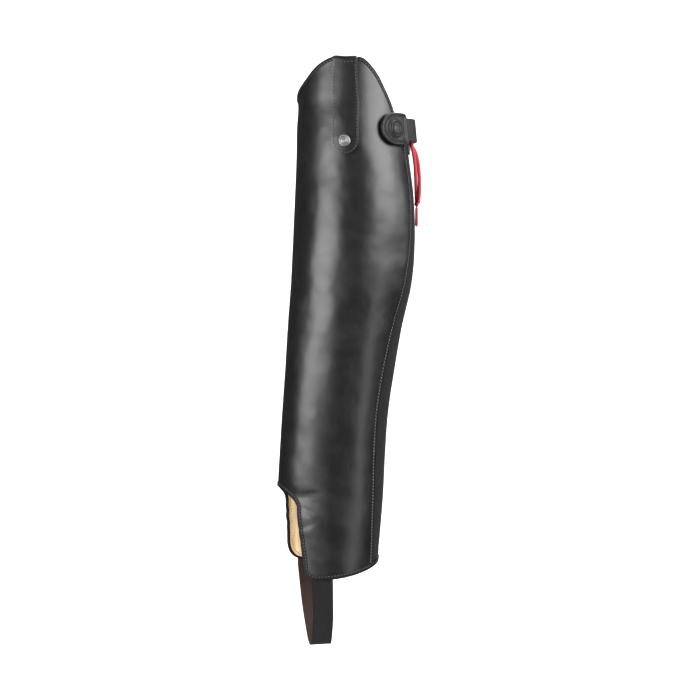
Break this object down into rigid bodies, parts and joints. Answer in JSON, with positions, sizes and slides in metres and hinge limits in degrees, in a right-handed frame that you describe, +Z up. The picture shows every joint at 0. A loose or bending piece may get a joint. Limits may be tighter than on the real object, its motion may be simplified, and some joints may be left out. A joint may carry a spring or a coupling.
{
  "type": "half chap for the left leg",
  "caption": "Black leather half chap, filled out: raised outer top edge, arch over the instep, rear zip with elastic panel and red cord pull, top strap with tab, elastic loop under the boot",
  "frame": {"origin": "middle of the calf at its fullest, inside the hollow, where the wearer's leg holds it", "axes": "+Z up the leg, -X the shin, +X the calf and the zip, -Y the outer side with the snap, +Y the inner side"},
  "size_m": [0.1358, 0.1056, 0.5332],
  "materials": {
    "black_leather": "smooth polished grain leather",
    "tan_lining": "matt tan lining leather",
    "black_elastic": "ribbed black elastic",
    "zip_tape": "woven black tape",
    "zip_metal": "dark metal",
    "snap_metal": "bright nickel",
    "black_rubber": "smooth moulded rubber",
    "red_cord": "braided red cord"
  },
  "bodies": {
    "root": {"leg_panel": "black_leather", "lining": "tan_lining", "stretch_panel": "black_elastic", "zip_tape_outer": "zip_tape", "zip_tape_inner": "zip_tape", "zip_chain": "zip_metal", "zip_box": "zip_metal", "zip_slider": "zip_metal", "hem_binding": "black_leather", "top_binding_back": "black_leather", "top_binding_front": "black_leather", "top_strap": "black_leather", "top_snap": "snap_metal", "closure_strap": "black_leather", "closure_tab": "black_rubber", "closure_stud": "black_rubber", "foot_strap": "black_elastic", "pull_cord_inner": "red_cord", "pull_cord_outer": "red_cord", "pull_cord_tip": "red_cord"}
  },
  "joints": []
}
